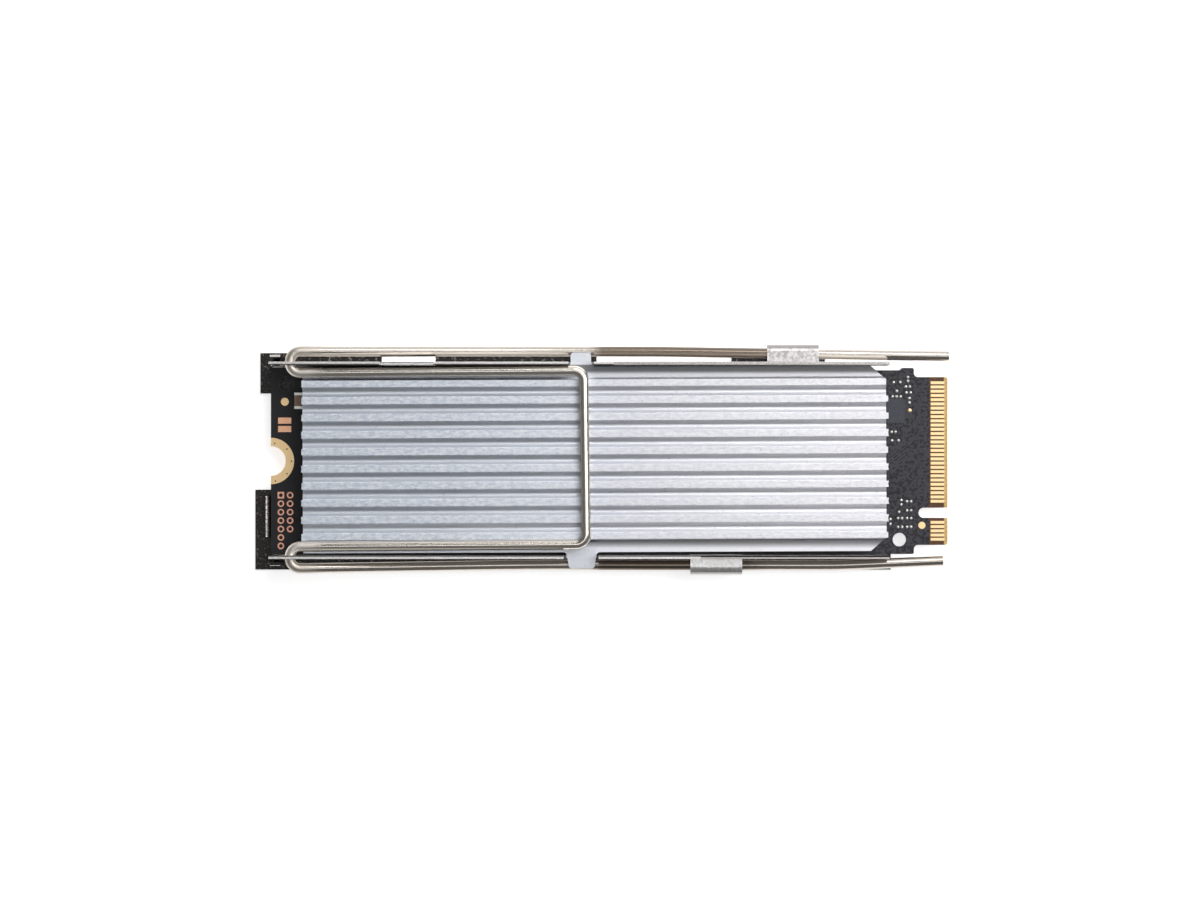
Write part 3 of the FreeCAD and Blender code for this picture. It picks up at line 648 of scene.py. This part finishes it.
def add_floor():
    def build(bm):
        z = cad_low.z - floor_gap
        corners = [(-floor_half, -floor_half, z), (floor_half, -floor_half, z),
                   (floor_half, floor_half, z), (-floor_half, floor_half, z)]
        bm.faces.new([bm.verts.new(corner) for corner in corners])

    floor = add_mesh("floor", build)
    floor.data.materials.append(seamless_floor())


def add_softbox(name, place, aim, size, radiance):
    data = bpy.data.lights.new(name, "AREA")
    data.shape = "RECTANGLE"
    data.size, data.size_y = size
    data.energy = radiance * math.pi * size[0] * size[1]
    light = bpy.data.objects.new(name, data)
    light.location = place
    direction = Vector(aim) - Vector(place)
    light.rotation_euler = direction.to_track_quat("-Z", "Y").to_euler()
    bpy.context.scene.collection.objects.link(light)


def add_lights():
    """A steep main light, one straight above, one low on the right, one far behind, and a faint room"""
    add_softbox("steep_softbox", place=(0.36, 0.38, 0.70), aim=(0, 0, 0), size=(0.9, 0.44), radiance=3.3)
    add_softbox("top_softbox", place=(0.20, 0.0, 0.90), aim=(0.20, 0, 0), size=(0.66, 0.16), radiance=2.0)
    add_softbox("near_softbox", place=(0.17, 0.05, 0.24), aim=(0.03, 0, 0), size=(0.10, 0.12), radiance=3.0)
    add_softbox("back_softbox", place=(0.3, 0.95, 0.35), aim=(0, 0, 0), size=(1.5, 0.5), radiance=0.9)
    world = bpy.data.worlds.new("studio")
    bpy.context.scene.world = world
    world.use_nodes = True
    background = world.node_tree.nodes["Background"]
    background.inputs["Color"].default_value = (1, 1, 1, 1)
    background.inputs["Strength"].default_value = room_glow


def add_camera():
    """Straight down on the photograph's middle"""
    data = bpy.data.cameras.new("camera")
    data.sensor_width = sensor_width
    view_width = photo_width_px / px_per_mm * MM
    data.lens = sensor_width * camera_distance / view_width
    data.clip_start = nearest_seen
    camera = bpy.data.objects.new("camera", data)
    middle = on_board(*photo_middle_px)
    camera.location = middle + Vector((0, 0, camera_distance))
    camera.rotation_euler = (0, 0, 0)
    bpy.context.scene.collection.objects.link(camera)
    bpy.context.scene.camera = camera


# Details

def add_detail(name, material, build):
    """A small piece that stays on the board, the channel or the heatsink"""
    piece = add_mesh(name, build)
    piece.data.materials.append(material)
    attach(piece, "base")


def circle(middle, radius):
    """Points around a middle, anticlockwise"""
    turn = 2 * math.pi / disc_sides
    spokes = [Vector((math.cos(turn * index), math.sin(turn * index), 0)) for index in range(disc_sides)]
    return [middle + radius * spoke for spoke in spokes]


def rectangle(low, high):
    """The corners between two opposite ones, anticlockwise"""
    return [Vector((low.x, low.y, 0)), Vector((high.x, low.y, 0)),
            Vector((high.x, high.y, 0)), Vector((low.x, high.y, 0))]


def add_prism(bm, outline, z_low, z_high):
    """A flat piece with vertical sides over an outline that runs anticlockwise"""
    low = [bm.verts.new((corner.x, corner.y, z_low)) for corner in outline]
    high = [bm.verts.new((corner.x, corner.y, z_high)) for corner in outline]
    bm.faces.new(high)
    bm.faces.new(low[::-1])
    add_band(bm, low, high)


def add_band(bm, lower, upper):
    """The faces between two rings with as many points each"""
    count = len(lower)
    for index in range(count):
        after = (index + 1) % count
        bm.faces.new((lower[index], lower[after], upper[after], upper[index]))


def add_bead(bm, place, radius, height):
    """A low solder bead: a dome of three rings and a tip on the board's top"""
    rings = []
    for lean in bead_leans:
        middle = place + Vector((0, 0, height * math.sin(math.radians(lean))))
        points = circle(middle, radius * math.cos(math.radians(lean)))
        rings.append([bm.verts.new(point) for point in points])
    for lower, upper in zip(rings, rings[1:]):
        add_band(bm, lower, upper)
    tip = bm.verts.new(place + Vector((0, 0, height)))
    last = rings[-1]
    for corner, after in zip(last, last[1:] + last[:1]):
        bm.faces.new((corner, after, tip))


def add_strip(bm, points, width, z_low, z_high):
    """A straight-sided strip between each two points of a run"""
    for start, end in zip(points, points[1:]):
        along = (end - start).normalized()
        across = Vector((-along.y, along.x, 0)) * width / 2
        back = along * width / 4
        outline = [start - back - across, end + back - across, end + back + across, start - back + across]
        add_prism(bm, outline, z_low, z_high)


def solder_points(finish):
    """Tinned vias and solder points beside the edge contacts"""
    def build(bm):
        for row, columns in point_rows_px:
            for column in columns:
                add_bead(bm, on_board(column, row), solder_point_radius, solder_point_height)

    add_detail("solder_points", finish, build)


def ring_vias(finish):
    """The five small holes around the screw ring"""
    ring_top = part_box("screw_rings")[1].z

    def build(bm):
        for point in ring_vias_px:
            outline = circle(on_board(*point), ring_via_radius)
            add_prism(bm, outline, ring_top - ring_via_depth, ring_top + ring_via_height)

    add_detail("ring_vias", finish, build)


def header_hole_shade(finish):
    """Dark cylinders in the twelve plated holes: painted shade for their unlit depth"""
    pads_low, pads_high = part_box("header_pads")
    column_pitch = pads_high.x - pads_low.x - 2 * header_pad_radius
    row_pitch = (pads_high.y - pads_low.y - 2 * header_pad_radius) / (header_counts[0] - 1)

    def build(bm):
        for column, count in enumerate(header_counts):
            for row in range(count):
                x = pads_low.x + header_pad_radius + column * column_pitch
                y = pads_high.y - header_pad_radius - row * row_pitch
                outline = circle(Vector((x, y, 0)), header_hole_radius)
                add_prism(bm, outline, board_low.z + header_hole_floor, board_top - header_hole_depth)

    add_detail("header_hole_shade", finish, build)


def rib_burrs(finish):
    """Ragged sawn ends of the ribs, which stand a little past the base at both ends of the heatsink"""
    slope = math.tan(math.radians(sink_skew))

    def build(bm):
        for index in range(rib_count):
            for end_x, side, reach in ((sink_low.x, -1, left_burr), (sink_high.x, 1, right_burr)):
                if side > 0 and index == 0:
                    continue
                y = first_rib_y - index * rib_pitch + end_x * slope
                root = end_x - side * burr_root
                tip = end_x + side * reach * random.uniform(0.6, 1.2)
                mid = end_x + side * reach * random.uniform(0.5, 1.0)
                half = rib_width / 2 * random.uniform(0.85, 1.05)
                corners = [(root, y - half), (tip, y - half), (mid, y), (tip, y + half), (root, y + half)]
                outline = [Vector((*corner, 0)) for corner in corners[::side]]
                add_prism(bm, outline, sink_high.z - burr_depth, sink_high.z - burr_drop)

    add_detail("rib_burrs", finish, build)


def golden_point(finish):
    """The one larger gilded point at the foot of the upper group"""
    def build(bm):
        add_bead(bm, on_board(*golden_point_px), golden_point_radius, solder_point_height)

    add_detail("golden_point", finish, build)


def package_leads(finish):
    """The short dark leads along the lower edge of the flat package"""
    half = Vector((lead_length / 2, lead_length / 2, 0))

    def build(bm):
        for index in range(lead_count):
            place = on_board(lead_first_px[0] + index * lead_step_px, lead_first_px[1])
            add_prism(bm, rectangle(place - half, place + half), board_top, board_top + lead_height)

    add_detail("package_leads", finish, build)


def mask_tracks(finish):
    """Tracks under the mask, which fan out from the edge contacts and turn by 45 degrees"""
    pitch = (contacts_high.y - contacts_low.y) / track_count
    top_z = board_top + track_height

    def build(bm):
        for index in range(track_count):
            start = Vector((contacts_low.x - track_gap, contacts_high.y - (index + 0.5) * pitch, 0))
            if abs(start.y - notch_middle_y) < notch_clearance or start.y < lowest_track_y:
                continue
            run = shortest_run + run_step * (index % 4)
            slant = shortest_slant + slant_step * (index % 3)
            bend = start - Vector((run, 0, 0))
            end = bend - Vector((slant, slant, 0))
            add_strip(bm, [start, bend, end], track_width, board_top, top_z)
        for index in range(slanted_count):
            start = on_board(*slanted_first_px) - Vector((0, index * slanted_pitch, 0))
            end = start + Vector((slanted_length, slanted_length * slanted_rise, 0))
            add_strip(bm, [start, end], track_width, board_top, top_z)

    add_detail("mask_tracks", finish, build)


def locating_ring(finish):
    """The edge of the copper under the mask around the hole near the screw ring"""
    def build(bm):
        points = circle(on_board(*locating_hole_px), locating_ring_radius)
        z_high = board_top + locating_ring_height
        add_strip(bm, points + points[:1], locating_ring_width, board_top, z_high)

    add_detail("locating_ring", finish, build)


def flat_package(finish):
    """The thin flat package between the two groups of solder points"""
    def build(bm):
        outline = rectangle(on_board(*package_low_px), on_board(*package_high_px))
        add_prism(bm, outline, board_top, board_top + package_height)

    add_detail("flat_package", finish, build)


bpy.context.scene.view_settings.view_transform = "Standard"
finishes = finish_nodes()
solder_points(finishes["tinned_ends"])
ring_vias(finishes["chip_resin"])
# Painted shade: dark cylinders set into the plated holes
header_hole_shade(finishes["chip_resin"])
random.seed(7)
rib_burrs(finishes["extruded_aluminium"])
golden_point(finishes["gold_plating"])
package_leads(finishes["chip_resin"])
covered_copper = mask_over_copper()
mask_tracks(covered_copper)
locating_ring(covered_copper)
flat_package(package_resin())
add_floor()
add_lights()
add_camera()
